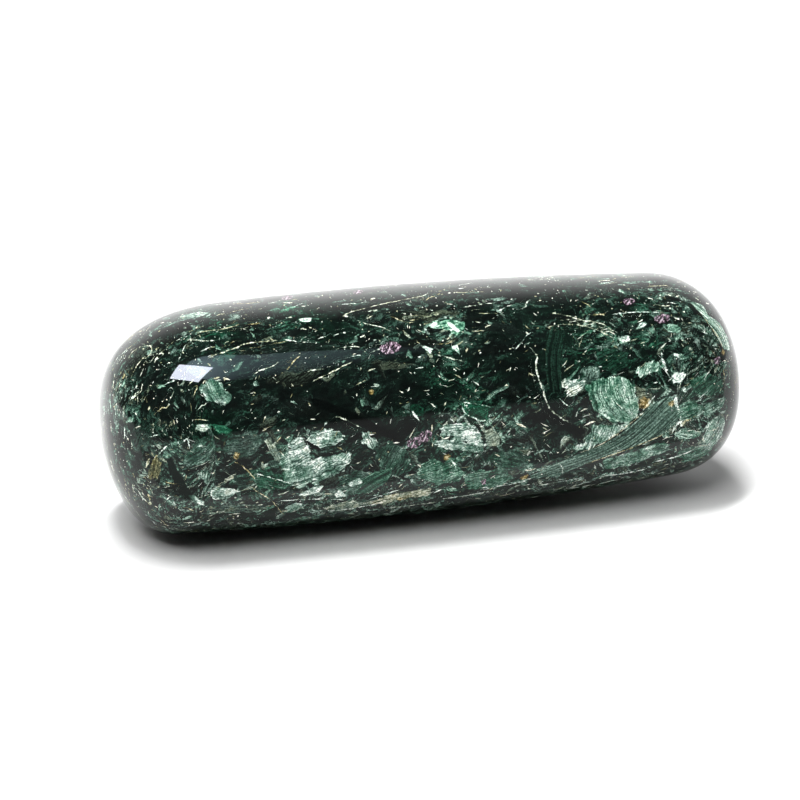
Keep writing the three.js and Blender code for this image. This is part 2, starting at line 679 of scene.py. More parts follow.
def arc_through(flat, poles):
    """Which of the arcs through two poles a point lies on, as the ridges of a fan that bends."""
    to_first = flat - poles[0]
    to_second = poles[1] - flat
    cross = to_first[:, 0] * to_second[:, 1] - to_first[:, 1] * to_second[:, 0]
    return np.arctan2(cross, np.sum(to_first * to_second, axis=1)) * ARC_SPACING


def flake_frame(normal, comb):
    """The comb's direction and the one across it, in the flake's own plane."""
    along = comb - normal * (comb @ normal)
    along /= np.linalg.norm(along)
    return along, np.cross(normal, along)


class FlakeLayer:
    """Flakes that lie side by side. A point belongs to the flake that it is deepest in."""

    def __init__(self):
        self.edge = np.full(len(body_points), FAR_OFF)
        self.comb = np.zeros((len(body_points), 2))
        self.look = np.zeros((len(body_points), 3))
        self.count = 0

    def lay(self, corners, normal, comb, tone, tint):
        """Lays one flake. The comb is a direction, a path to follow, or arcs through two poles."""
        middle = corners.mean(axis=0)
        reach = np.linalg.norm(corners - middle, axis=1).max() + MARGIN
        near = np.linalg.norm(body_points - middle, axis=1) < reach
        near &= body_normals @ normal > FACING
        points = body_points[near]
        kind, guide = comb
        level = guide if kind == "slope" else corners[1] - corners[0]
        along, across = flake_frame(normal, level)
        flat = np.stack([(points - middle) @ along, (points - middle) @ across], axis=1)
        outline = np.stack([(corners - middle) @ along, (corners - middle) @ across], axis=1)
        edge = distance_to_outline(flat, outline)
        if kind == "poles":
            poles = np.stack([(guide - middle) @ along, (guide - middle) @ across], axis=1)
            flat = np.stack([np.linalg.norm(flat - poles[0], axis=1), arc_through(flat, poles)], axis=1)
        if kind == "path":
            side, run, _ = distance_to_path(points, guide, normal)
            flat = np.stack([run * BAND_LENGTH, side * BAND_WIDTH], axis=1)
        deeper = edge < self.edge[near]
        chosen = np.flatnonzero(near)[deeper]
        self.edge[chosen] = edge[deeper]
        self.comb[chosen] = flat[deeper]
        self.look[chosen] = (tone, tint, self.count % PATTERNS)
        self.count += 1

    def write(self, name):
        write_vectors(name, np.column_stack([self.edge, self.comb]))
        write_vectors(name + "_look", self.look)


def lay_by_pixels(layer, flakes):
    """Lays flakes whose outlines are given in pixels of the picture."""
    for tone, tint, comb, pixels in flakes.values():
        corners, normal = laid_on_stone(pixels)
        middle = np.mean(pixels, axis=0).tolist()
        if isinstance(comb, tuple):
            guide = ("poles", laid_on_stone(comb)[0])
        elif isinstance(comb, list):
            guide = ("path", smoothed(laid_on_stone(comb)[0]))
        else:
            guide = ("slope", slope_on_stone(middle, comb, normal))
        layer.lay(corners, normal, guide, tone, tint)


# %% The broad flakes
# Each flake has its tone, from 0 black to 1 white, its tint, from -1 warm over 0 silver to 1 green, its comb
# and its outline. A comb is a slope in degrees, a list of points along a path, or a pair of poles to arch
# between.
BROAD_FLAKES = {
    "fan": (0.58, 0.5, ((636, 419), (612, 352)), [
        (586, 386), (594, 381), (609, 376), (625, 376), (633, 386), (638, 400), (637, 416), (628, 422),
        (609, 420), (597, 410), (588, 398)]),
    "below_fan": (0.58, 0.3, 70, [
        (592, 425), (609, 425), (630, 424), (610, 438), (588, 448), (572, 452), (572, 446), (584, 443),
        (590, 432)]),
    "feather": (0.66, 0.1, [(282, 481), (305, 474), (325, 466), (347, 454)], [
        (280, 482), (290, 472), (307, 466), (318, 458), (335, 455), (350, 453), (348, 462), (345, 467),
        (331, 476), (315, 481), (290, 487)]),
    "left_of_feather": (0.64, 0.1, 25, [
        (277, 466), (281, 456), (291, 442), (300, 436), (306, 443), (310, 452), (310, 464),
        (294, 472), (285, 470)]),
    "above_feather": (0.76, 0.05, 12, [
        (304, 442), (315, 432), (331, 428), (345, 436), (343, 442), (325, 448), (318, 446)]),
    "small_wedge": (0.74, 0.05, -60, [
        (362, 431), (369, 432), (380, 444), (373, 449), (363, 442)]),
    "long_silver": (0.72, 0.05, 5, [
        (439, 428), (456, 422), (474, 425), (481, 434), (482, 444), (465, 441), (455, 436),
        (442, 435)]),
    "below_long_silver": (0.62, 0.1, 0, [
        (430, 442), (444, 439), (456, 439), (482, 446), (495, 451), (478, 451), (444, 448)]),
    "beside_glint": (0.5, 0.3, ((224, 408), (205, 362)), [
        (197, 387), (211, 379), (221, 383), (232, 397), (229, 404), (220, 406), (212, 402),
        (201, 393)]),
    "crumpled_silver": (0.7, -0.05, 30, [
        (560, 382), (570, 378), (586, 381), (581, 390), (572, 398), (567, 393)]),
    "above_fan": (0.6, 0.3, 60, [
        (631, 373), (644, 362), (658, 362), (661, 370), (641, 376)]),
    "right_end_low": (0.55, 0.3, 60, [
        (706, 426), (719, 414), (725, 417), (723, 434), (711, 447), (702, 448), (703, 436)]),
    "right_end_mid": (0.5, 0.2, 35, [
        (702, 404), (725, 395), (727, 400), (719, 409), (705, 417)]),
    "bright_patch": (0.62, 0.75, 10, [
        (425, 325), (436, 321), (446, 319), (464, 322), (463, 331), (457, 335), (448, 330), (439, 328)]),
    "low_green": (0.44, 0.45, 20, [
        (416, 470), (430, 460), (450, 462), (465, 472), (460, 482), (440, 484), (422, 480)]),
    "olive_arc": (0.34, -0.6, 80, [
        (156, 456), (160, 461), (160, 475), (152, 481), (148, 477), (150, 466)]),
    "grey_scrap": (0.5, 0.1, 80, [
        (199, 471), (209, 470), (211, 478), (207, 485), (201, 484)]),
    "outlined_green": (0.24, 1.0, 30, [
        (464, 402), (477, 404), (491, 407), (486, 420), (481, 421), (465, 414)]),
    "dim_grey": (0.12, 0.1, 12, [
        (262, 350), (290, 343), (330, 343), (352, 348), (348, 358), (330, 366), (300, 373), (262, 366)]),
    "below_ribbon": (0.54, 0.4, 15, [
        (602, 461), (640, 449), (662, 440), (668, 446), (640, 461), (607, 469)]),
    "right_mid_left": (0.46, 0.4, 25, [
        (674, 408), (690, 400), (703, 404), (700, 416), (686, 421), (676, 418)]),
    "right_foot": (0.42, 0.4, 20, [(678, 450), (700, 443), (712, 448), (700, 458), (682, 462)]),
    "right_dim": (0.3, 0.5, 40, [(690, 382), (706, 372), (722, 378), (724, 390), (706, 396), (694, 393)]),
    "foot_green": (0.4, 0.5, 10, [(462, 478), (480, 470), (505, 468), (512, 478), (495, 488), (470, 490)]),
    "gap_green": (0.3, 0.4, -10, [(488, 455), (510, 450), (532, 455), (526, 470), (500, 472)]),
    "mid_mottle": (0.28, 0.4, 60, [(376, 450), (392, 440), (408, 452), (412, 470), (396, 476), (380, 466)]),
    "foot_mottle": (0.36, 0.3, 15, [(340, 478), (356, 470), (374, 474), (370, 488), (352, 496), (338, 490)]),
    "foot_crumbs": (0.55, -0.2, 12, [(322, 508), (340, 503), (362, 499), (372, 502), (352, 509), (330, 513)]),
    "left_mottle": (0.3, 0.3, 35, [(183, 462), (192, 446), (208, 438), (217, 446), (207, 460), (192, 468)]),
    "left_grey": (0.26, 0.2, 10, [(222, 452), (232, 436), (250, 430), (262, 440), (256, 453), (238, 458)]),
    "left_emerald": (0.28, 0.6, -12, [
        (250, 470), (272, 472), (294, 482), (286, 490), (264, 488), (252, 480)]),
    "left_streak": (0.36, -0.1, 5, [(206, 508), (232, 505), (262, 505), (266, 510), (240, 513), (212, 514)]),
    "left_dark_green": (0.18, 0.3, 60, [(130, 436), (140, 420), (152, 424), (150, 446), (138, 456)]),
    "ribbon_side": (0.54, 0.4, -10, [
        (673, 432), (682, 427), (694, 428), (700, 433), (692, 439), (680, 439)]),
    "left_low": (0.62, 0.15, -30, [(162, 495), (174, 501), (177, 506), (169, 505)]),
    "left_lowest": (0.7, 0.05, -25, [(177, 508), (186, 510), (194, 515), (184, 513)]),
    "low_wedge": (0.68, 0.1, 5, [
        (211, 488), (225, 488), (242, 491), (232, 496), (220, 501), (212, 496)]),
    "low_strip": (0.62, -0.45, 15, [
        (368, 503), (385, 496), (405, 492), (430, 488), (430, 495), (400, 500), (380, 505)]),
    # A pale flake just under the top edge at the left. Its pale tone also paints the reflection of the white
    # room along that edge.
    "flake_and_painted_reflection_top_left": (0.55, 0.2, 12, [
        (177, 317), (190, 314), (205, 312), (211, 314), (196, 318), (182, 320)]),
    "right_green": (0.17, 0.6, 30, [(596, 352), (612, 348), (628, 352), (630, 366), (612, 372), (598, 366)]),
}

# Bands are flakes with long calm ridges that follow a path.
BANDS = {
    "ribbon": (0.44, 0.2, [
        (531, 477), (562, 466), (595, 455), (620, 443), (643, 425), (662, 405), (672, 395)], [
        (530, 475), (547, 468), (566, 459), (594, 448), (616, 437), (634, 422), (648, 408),
        (662, 398), (672, 395), (677, 408), (678, 420), (666, 432), (641, 443), (619, 451),
        (588, 462), (559, 475), (531, 479)]),
    "right_end_top": (0.7, 0.4, [(690, 302), (708, 316), (722, 332), (728, 349)], [
        (689, 301), (702, 304), (708, 315), (719, 322), (727, 336), (730, 350),
        (723, 348), (714, 332), (702, 315), (694, 306)]),
    "green_feather": (0.36, 0.6, [(354, 494), (368, 482), (391, 470)], [
        (354, 494), (362, 480), (375, 472), (391, 468), (391, 476), (380, 487), (365, 494)]),
    "dark_column": (0.14, 0.4, [(556, 330), (549, 360), (555, 396)], [
        (546, 330), (560, 326), (563, 345), (561, 370), (561, 395), (551, 392), (546, 378), (545, 350)]),
}

# %% The bright scraps on top of them
SCRAPS = {
    "white_core": (0.97, 0.1, 20, [(446, 322), (450, 322), (460, 331), (457, 333), (452, 328)]),
    "white_tail": (0.9, 0.1, 10, [(427, 326), (436, 322), (441, 323), (434, 326)]),
    "white_drop": (0.95, 0.0, -20, [(420, 345), (434, 349), (430, 353), (425, 349)]),
    "white_hook": (0.85, 0.2, -60, [(451, 347), (457, 345), (460, 354), (456, 351)]),
    "top_white": (0.88, 0.1, 5, [(298, 320), (305, 318), (313, 318), (310, 322), (302, 322)]),
    "left_white": (0.82, 0.05, -40, [(194, 496), (205, 503), (202, 508), (194, 503)]),
    "sliver_1": (0.82, 0.0, 20, [(348, 483), (359, 478), (363, 483), (350, 487)]),
    "sliver_2": (0.8, 0.0, 25, [(297, 496), (314, 487), (324, 486), (318, 493), (305, 496)]),
    "sliver_3": (0.82, 0.0, 0, [(335, 494), (340, 490), (348, 496), (336, 498)]),
    "sliver_4": (0.7, 0.1, 25, [(294, 487), (303, 483), (312, 480), (306, 486), (299, 489)]),
    "sliver_5": (0.62, 0.1, 15, [(285, 508), (296, 503), (302, 504), (298, 510), (288, 511)]),
    "green_patch": (0.3, 1.0, 0, [(212, 425), (222, 426), (232, 430), (230, 434), (218, 433)]),
    "beige_patch": (0.7, -0.3, 0, [(194, 427), (203, 424), (210, 426), (209, 431), (199, 433)]),
    "beige_crumbs": (0.55, -0.25, 30, [(484, 430), (492, 428), (500, 436), (499, 445), (487, 446)]),
    "crumb_trail": (0.5, -0.2, -60, [(264, 440), (270, 438), (275, 446), (282, 458), (278, 463), (270, 452)]),
    "right_white_1": (0.86, 0.0, 40, [
        (670, 371), (678, 373), (687, 370), (684, 378), (677, 386), (672, 381)]),
    "right_white_2": (0.97, 0.0, 0, [(673, 353), (677, 352), (681, 355), (679, 358), (674, 356)]),
    "right_white_3": (0.84, 0.0, 60, [(680, 388), (684, 386), (687, 390), (683, 395)]),
    "left_speck": (0.9, -0.2, 0, [(373, 384), (377, 383), (381, 384), (378, 387), (374, 387)]),
    "arch_scrap": (0.72, -0.2, 10, [(616, 337), (630, 334), (630, 340), (623, 343)]),
    "blue_scrap": (0.66, 0.0, 20, [(634, 329), (641, 322), (648, 322), (647, 326)]),
    "teal_scrap": (0.5, 0.4, 30, [(665, 325), (672, 322), (681, 327), (680, 332), (668, 332)]),
    "emerald_wedge": (0.14, 1.0, 60, [(409, 407), (414, 403), (424, 408), (423, 416), (417, 416)]),
    "black_band": (0.0, 0.0, -25, [
        (310, 398), (322, 400), (350, 411), (388, 430), (402, 434), (396, 441), (370, 430), (340, 416),
        (315, 407)]),
    "black_shard": (0.02, 0.0, -30, [
        (547, 407), (556, 412), (570, 422), (588, 431), (578, 437), (560, 426), (548, 416)]),
    "black_arc": (0.04, 0.3, -60, [
        (167, 460), (172, 458), (177, 470), (186, 486), (195, 497), (190, 501), (178, 488), (170, 474)]),
    "black_crack": (0.0, 0.0, -35, [(301, 436), (308, 441), (320, 449), (319, 452), (306, 444)]),
}

# %% The lines
# Each line has its warmth, from 0 white to 1 ochre, its width in millimetres and its points.
LINES = {
    "left_arch": (0.55, 0.13, [(209, 358), (222, 353), (237, 348), (244, 344), (258, 342), (277, 341)]),
    "left_ochre": (0.75, 0.16, [(197, 333), (209, 331), (222, 330), (239, 325)]),
    "left_straw": (0.45, 0.13, [(188, 340), (206, 342), (221, 340)]),
    "zigzag": (0.5, 0.14, [(142, 347), (152, 346), (151, 355), (143, 360)]),
    "zigzag_foot": (0.6, 0.12, [(148, 353), (138, 364), (131, 378)]),
    "top_long": (0.5, 0.11, [(342, 317), (350, 312), (369, 307), (391, 302), (419, 297), (430, 293)]),
    "mid_broken": (0.5, 0.12, [(312, 382), (324, 376), (342, 367), (353, 361)]),
    "mid_dash": (0.1, 0.12, [(352, 356), (364, 355)]),
    "olive_dash": (0.6, 0.14, [(356, 385), (366, 380)]),
    "yellow_streak": (0.35, 0.2, [(438, 355), (451, 358), (465, 362)]),
    "white_stroke": (0.0, 0.26, [(412, 411), (415, 415), (419, 420)]),
    "straw_dash": (0.4, 0.15, [(429, 402), (436, 407)]),
    "outline_top": (0.1, 0.12, [(464, 402), (477, 404), (491, 407)]),
    "outline_foot": (0.0, 0.16, [(462, 405), (465, 414), (475, 418), (481, 421), (486, 420)]),
    "band_foot": (0.35, 0.12, [(331, 420), (336, 416), (346, 420), (362, 428)]),
    "white_curl": (0.0, 0.22, [(451, 460), (455, 464), (457, 470)]),
    "pale_tick": (0.1, 0.16, [(428, 458), (432, 465)]),
    "low_white": (0.1, 0.16, [(369, 500), (385, 494), (399, 490)]),
    "low_line": (0.0, 0.13, [(280, 501), (300, 500), (320, 499), (346, 500)]),
    "low_tick": (0.0, 0.2, [(434, 493), (440, 490), (446, 487)]),
    "right_crack": (0.3, 0.2, [
        (530, 347), (538, 356), (535, 364), (538, 378), (544, 393), (546, 403), (552, 412),
        (569, 422)]),
    "arch_low": (0.6, 0.13, [(547, 327), (566, 323), (588, 326), (600, 331), (612, 337)]),
    "arch_high": (0.5, 0.15, [(553, 313), (567, 315), (581, 320), (600, 322), (609, 328), (616, 332)]),
    "ribbon_top": (0.55, 0.14, [(581, 452), (600, 445), (619, 432), (636, 418), (645, 411)]),
    "ribbon_foot": (0.75, 0.13, [(587, 463), (619, 452), (640, 444), (664, 434)]),
    "fan_rim": (0.1, 0.16, [(655, 395), (647, 404), (639, 415)]),
    "crack_across": (0.1, 0.13, [(616, 437), (615, 441), (616, 446), (622, 449)]),
    "crack_below": (0.2, 0.12, [(560, 464), (563, 468), (562, 473)]),
    "right_white_top": (0.15, 0.4, [(661, 351), (664, 365), (670, 378), (672, 382)]),
    "right_white_foot": (0.1, 0.42, [(675, 392), (676, 404), (680, 418), (676, 425), (672, 431)]),
    "upper_right": (0.1, 0.12, [(612, 314), (636, 311), (661, 312)]),
    "end_ochre": (0.9, 0.14, [(700, 312), (709, 325), (720, 339), (723, 351)]),
    "silver_foot": (0.0, 0.15, [(560, 398), (564, 403), (569, 406)]),
    "left_end_1": (0.1, 0.16, [(118, 405), (118, 416)]),
    "left_end_2": (0.05, 0.2, [(124, 426), (125, 438)]),
    "left_end_3": (0.3, 0.2, [(131, 440), (132, 447)]),
    "left_dash": (0.1, 0.2, [(150, 438), (159, 435)]),
    "left_olive": (0.6, 0.18, [(168, 430), (171, 422)]),
    "rust_line": (0.85, 0.12, [(232, 461), (244, 467), (256, 480)]),
    "rust_line_foot": (0.8, 0.12, [(251, 487), (260, 494), (271, 499), (284, 515)]),
    "emerald_edge": (0.0, 0.12, [(257, 474), (275, 479), (292, 484)]),
    "left_curl": (0.15, 0.16, [(171, 444), (163, 449), (156, 458)]),
    "left_tick": (0.0, 0.16, [(179, 446), (184, 441), (188, 439)]),
    "left_tick_2": (0.0, 0.14, [(194, 450), (199, 446), (205, 447)]),
    "foot_stroke_1": (0.1, 0.22, [(535, 486), (556, 482), (580, 478)]),
    "foot_stroke_2": (0.2, 0.2, [(562, 489), (590, 485), (612, 480)]),
    "foot_stroke_3": (0.1, 0.24, [(600, 476), (626, 473), (652, 467)]),
    "foot_stroke_4": (0.3, 0.2, [(622, 481), (648, 476), (672, 469)]),
    "foot_stroke_5": (0.1, 0.22, [(655, 461), (674, 457), (692, 450)]),
    "foot_stroke_6": (0.2, 0.2, [(440, 499), (465, 496), (490, 491)]),
    "foot_stroke_7": (0.1, 0.22, [(480, 488), (505, 485), (528, 480)]),
    "foot_stroke_8": (0.3, 0.2, [(390, 508), (415, 505), (437, 502)]),
    "foot_stroke_9": (0.1, 0.2, [(330, 511), (352, 509), (376, 504)]),
}

# %% The ruby grains and the stains
# A grain has its place, its length and height in pixels and its slope in degrees. A stain has its place and
# radius.
RUBY_GRAINS = {
    "middle": ((390, 348), 21, 12, 8),
    "low_left": ((414, 443), 14, 11, 20),
    "low_right": ((426, 436), 15, 11, 25),
    "lowest": ((484, 482), 6, 6, 0),
    "top_right": ((629, 301), 12, 7, 5),
    "right": ((662, 318), 17, 9, 5),
    "right_end": ((717, 360), 8, 8, 60),
    "top_left": ((287, 298), 12, 4, 8),
    "top_middle": ((358, 292), 10, 4, 8),
}
STAINS = {
    "rust": ((237, 456), 4.5),
    "fan_ochre": ((644, 402), 8),
    "right_rust": ((672, 403), 4.5),
    "end_ochre": ((723, 351), 4.5),
    "ribbon_tip": ((525, 477), 5.5),
    "mid_ochre": ((371, 392), 3.5),
    "low_gold": ((447, 457), 5),
    "low_strip": ((400, 499), 4),
}

# %% Regions
# Where the rock as a whole is paler, darker or greener: a place and radius in pixels, and how much.
PALE_REGIONS = {
    "low_left": ((200, 480), 45, 0.45),
    "low_feather": ((300, 460), 50, 0.6),
    "low_middle": ((400, 480), 45, 0.7),
    "middle_gap": ((525, 450), 35, 0.5),
    "low_right": ((490, 455), 50, 0.7),
    "fan": ((600, 430), 45, 0.45),
    "right": ((685, 410), 42, 0.8),
    "far_right": ((708, 385), 32, 0.8),
    "below_ribbon": ((640, 470), 45, 0.9),
    "below_all": ((330, 505), 60, 0.4),
    "top_left": ((190, 320), 25, 0.35),
    "top_green": ((295, 316), 25, 0.35),
    "top_middle": ((440, 325), 25, 0.35),
    "top_right": ((690, 320), 35, 0.4),
    "arch": ((600, 340), 35, 0.35),
    "left_edge": ((120, 400), 30, 0.35),
    "lower_edge_left": ((230, 512), 50, 0.5),
    "lower_edge": ((400, 505), 55, 0.75),
    "lower_edge_right": ((560, 486), 55, 0.85),
    "lower_edge_end": ((660, 467), 40, 0.85),
}
DARK_REGIONS = {
    "under_glint": ((215, 410), 30, 0.6),
    "middle": ((330, 405), 42, 0.9),
    "band": ((375, 415), 30, 0.6),
    "right_middle": ((405, 385), 30, 0.7),
    "right": ((520, 370), 28, 0.7),
    "fan_left": ((550, 415), 24, 0.8),
    "top_right": ((510, 345), 30, 0.5),
    "top_left": ((330, 325), 25, 0.6),
    "top_middle": ((520, 300), 45, 0.5),
    "glint_right": ((290, 395), 40, 0.7),
    "left": ((165, 395), 25, 0.6),
    "low_left": ((185, 480), 14, 0.3),
    "low_middle": ((360, 462), 14, 0.3),
    "low_right": ((420, 455), 14, 0.2),
}
GREEN_REGIONS = {
    "left": ((215, 332), 22, 0.8),
    "left_low": ((215, 430), 20, 0.8),
    "top": ((298, 313), 22, 0.9),
    "middle": ((330, 335), 22, 0.4),
    "right_middle": ((455, 385), 32, 0.7),
    "outlined": ((475, 412), 22, 0.8),
    "low": ((275, 480), 22, 0.8),
    "right": ((590, 345), 40, 0.8),
    "fan": ((640, 350), 30, 0.6),
    "far_right": ((700, 390), 25, 0.6),
    "top_right": ((640, 312), 25, 0.5),
    "low_right": ((460, 470), 40, 0.5),
}

# %% Lay the flakes that the picture shows
OVAL_CORNERS = 10
# The squiggles in the ruby grains rise with this slope, in degrees.
SQUIGGLE_SLOPE = 75


def oval(centre, length, height, slope):
    """Corners of an oval in the picture."""
    turn = math.radians(slope)
    corners = []
    for step in range(OVAL_CORNERS):
        angle = step * math.tau / OVAL_CORNERS
        along = length / 2 * math.cos(angle)
        across = height / 2 * math.sin(angle)
        right = along * math.cos(turn) + across * math.sin(turn)
        down = across * math.cos(turn) - along * math.sin(turn)
        corners.append((centre[0] + right, centre[1] + down))
    return corners


broad = FlakeLayer()
lay_by_pixels(broad, BROAD_FLAKES)
bands = FlakeLayer()
lay_by_pixels(bands, BANDS)
scraps = FlakeLayer()
lay_by_pixels(scraps, SCRAPS)
grains = FlakeLayer()
lay_by_pixels(grains, {name: (0.5, 0.0, SQUIGGLE_SLOPE, oval(*grain)) for name, grain in RUBY_GRAINS.items()})
print("The picture gives", broad.count, "broad flakes,", bands.count, "bands and", scraps.count, "scraps")
print("It gives", grains.count, "ruby grains")


# %% Laying lines
class LineLayer:
    """Lines on the stone. A point belongs to the line that it is nearest to."""

    # How far a line is stored beside it, and over what length its ends thin out, in millimetres.
    REACH = 0.8
    TAPER = 0.7

    def __init__(self):
        self.gap = np.full(len(body_points), FAR_OFF)
        self.line = np.zeros((len(body_points), 3))
        self.line[:, 0] = FAR_OFF
        self.count = 0

    def lay(self, path, normal, warmth, width):
        """Lays one line, which thins out towards both its ends."""
        middle = (path.min(axis=0) + path.max(axis=0)) / 2
        reach = np.linalg.norm(path - middle, axis=1).max() + MARGIN
        near = np.linalg.norm(body_points - middle, axis=1) < reach
        near &= body_normals @ normal > 0
        side, run, length = distance_to_path(body_points[near], path, normal)
        end_gap = np.minimum(run, length - run)
        strength = np.clip(end_gap / self.TAPER, 0, 1) ** 0.5
        gap = np.abs(side)
        better = (gap < self.gap[near]) & (gap < self.REACH)
        chosen = np.flatnonzero(near)[better]
        self.gap[chosen] = gap[better]
        self.line[chosen, 0] = side[better]
        self.line[chosen, 1] = strength[better] * width
        self.line[chosen, 2] = warmth
        self.count += 1

    def write(self, name):
        write_vectors(name, self.line)


lines = LineLayer()
for warmth, width, pixels in LINES.values():
    path, path_normal = laid_on_stone(pixels)
    lines.lay(smoothed(path), path_normal, warmth, width)
# No scattered line takes a point that one of the picture's lines has.
lines.gap[lines.gap < lines.REACH] = 0
print("The picture gives", lines.count, "lines")

# %% [markdown]
# ## Marks on the sides that the picture doesn't show
#
# The same rock goes on round the stone, so its back, its belly and its top get flakes and lines of the same
# kinds and numbers, with a fixed seed. The leaves of mica all lie about upright along the stone. They show
# their broad faces at the front and the back, and only their edges at the top, the belly and the ends, where
# the marks are therefore narrow and run along.

# %% Scatter flakes and lines over the hidden sides
SCATTER_SEED = 11
HIDDEN_FLAKES = 110
HIDDEN_SCRAPS = 170
HIDDEN_LINES = 150
HIDDEN_GRAINS = 12
# Short lines at both ends, which start this far out along the stone, in millimetres, and long ones on the
# top.
END_LINES = 260
END_STARTS = 34.0
TOP_LINES = 70
random_numbers = np.random.default_rng(SCATTER_SEED)
towards_camera = np.array(camera_place) / MM - body_points
towards_camera /= np.linalg.norm(towards_camera, axis=1)[:, None]
hidden_points = np.flatnonzero(np.sum(body_normals * towards_camera, axis=1) < -0.02)
end_points = np.flatnonzero(abs(body_points[:, 0]) > END_STARTS)
top_points = np.flatnonzero(body_normals[:, 2] > 0.6)


def random_place(candidates):
    """One of some points at random, its normal, how broad the leaves show there and their direction."""
    index = random_numbers.choice(candidates)
    normal = body_normals[index]
    breadth = abs(normal[1])
    grain = np.cross(normal, (0, 1, 0))
    if np.linalg.norm(grain) < 0.5:
        grain = np.array((1.0, 0.0, 0.0))
    grain -= normal * (grain @ normal)
    grain /= np.linalg.norm(grain)
    turn = random_numbers.normal(0.2, 0.15 + 0.45 * breadth)
    grain = grain * math.cos(turn) + np.cross(normal, grain) * math.sin(turn)
    return body_points[index], normal, breadth, grain


def scatter_flakes(layer, count, lengths, tones):
    """Lays flakes at random on the hidden sides, with their lengths in millimetres."""
    for _ in range(count):
        place, normal, breadth, grain = random_place(hidden_points)
        length = random_numbers.uniform(*lengths)
        width = length * random_numbers.uniform(0.15, 0.3 + 0.4 * breadth)
        corner_count = random_numbers.integers(5, 9)
        uneven = random_numbers.uniform(0, math.tau, corner_count) * 0.25
        angles = np.sort(uneven + np.arange(corner_count) * math.tau / corner_count)
        radii = random_numbers.uniform(0.7, 1.1, corner_count)
        across = np.cross(normal, grain)
        corners = place + np.outer(radii * np.cos(angles) * length / 2, grain)
        corners += np.outer(radii * np.sin(angles) * width / 2, across)
        tone = random_numbers.uniform(*tones)
        tint = random_numbers.uniform(-0.3, 0.7)
        layer.lay(corners, normal, ("slope", grain), tone, tint)


def on_surface(points):
    """The nearest points of the stone's surface."""
    return np.array([stone_tree.find_nearest(Vector(point * MM))[0] for point in points]) / MM


def scatter_lines(layer, candidates, count, lengths):
    """Lays slightly bent lines at random among some points, with their lengths in millimetres."""
    for _ in range(count):
        place, normal, _, grain = random_place(candidates)
        length = random_numbers.uniform(*lengths)
        across = np.cross(normal, grain)
        bend = random_numbers.normal(0, 0.09, 4).cumsum() * length
        shares = np.linspace(-0.5, 0.5, 4)
        path = place + np.outer(shares * length, grain) + np.outer(bend, across)
        warmth = random_numbers.uniform(0.1, 1.0)
        layer.lay(smoothed(on_surface(path)), normal, warmth, random_numbers.uniform(0.07, 0.17))


scatter_flakes(broad, HIDDEN_FLAKES, (3, 11), (0.3, 0.72))
scatter_flakes(scraps, HIDDEN_SCRAPS, (0.8, 3), (0.45, 0.95))
scatter_flakes(grains, HIDDEN_GRAINS, (1.2, 2.6), (0.5, 0.5))
scatter_lines(lines, hidden_points, HIDDEN_LINES, (1.5, 9))
scatter_lines(lines, end_points, END_LINES, (0.8, 2.8))
scatter_lines(lines, top_points, TOP_LINES, (1.2, 5))
broad.write("flake")
bands.write("band")
scraps.write("scrap")
grains.write("grain")
lines.write("line")
print("With the hidden sides there are", broad.count, "broad flakes and", lines.count, "lines")


# %% Pale, dark and green regions
HIDDEN_REGIONS = 26


def add_region(field, place, radius, amount):
    """Raises a field to an amount at a place, fading out over a radius in millimetres."""
    gap = np.linalg.norm(body_points - place, axis=1)
    return np.maximum(field, amount * np.exp(-((gap / radius) ** 2)))


def field_of_regions(regions, hidden_radii, hidden_amounts):
    """A smooth value at each point, highest in the named regions, with seeded ones on the hidden sides."""
    field = np.zeros(len(body_points))
    for centre, radius, *amount in regions.values():
        place = laid_on_stone([centre])[0][0]
        field = add_region(field, place, radius / PIXELS_PER_MM, amount[0] if amount else 1.0)
    for _ in range(HIDDEN_REGIONS):
        place = random_place(hidden_points)[0]
        radius = random_numbers.uniform(*hidden_radii)
        field = add_region(field, place, radius, random_numbers.uniform(*hidden_amounts))
    return field


pale = field_of_regions(PALE_REGIONS, (4, 9), (0.2, 0.7))
pale -= field_of_regions(DARK_REGIONS, (4, 8), (0.3, 0.9))
green = field_of_regions(GREEN_REGIONS, (2, 6), (0.3, 0.9))
stained = field_of_regions(STAINS, (0.4, 1.2), (0.4, 1.0))
write_vectors("mood", np.column_stack([pale, green, stained]))
print("The pale regions cover", round(float((pale > 0.3).mean()) * 100), "% of the stone")

# %% [markdown]
# ## The rock as a material
#
# The rock is drawn in solid space, as it would be if the stone were cut anywhere. Generations of mica leaves
# are Voronoi cells, squeezed so that they lie upright along the stone and turned a little against each other.
# Each cell has its own tone, and fine fibres run across it in its own direction, because a leaf of mica is a
# stack of thinner ones whose edges show as ridges. The picture's own flakes, lines and grains are then laid
# over them. All of it is only colour: the polish is one smooth clear coat over everything. Sizes in the
# material are in millimetres.

# %% Shader helpers
def linear_colour(code):
    """A colour code such as #a9c0b4 as the linear values that a shader takes."""
    shares = [int(code[start:start + 2], 16) / 255 for start in (1, 3, 5)]
    values = [share / 12.92 if share < 0.04045 else ((share + 0.055) / 1.055) ** 2.4 for share in shares]
    return (*values, 1.0)


def ramp(share, stops):
    """Colours by a share from 0 to 1, given as places and colour codes."""
    wire = add_node(share.tree, "ShaderNodeValToRGB", {"Fac": share})
    elements = wire.socket.node.color_ramp.elements
    while len(elements) < len(stops):
        elements.new(0.5)
    for element, (place, code) in zip(elements, stops):
        element.position = place
        element.color = linear_colour(code)
    return wire


def blend(share, first, second):
    """From the first value to the second one by a share."""
    return (second - first) * share + first


def blend_colours(share, first, second):
    wire = add_node(share.tree, "ShaderNodeMix", None, 2, data_type="RGBA")
    node = wire.socket.node
    plug(share.tree, node.inputs[0], share)
    plug(share.tree, node.inputs[6], first)
    plug(share.tree, node.inputs[7], second)
    return wire


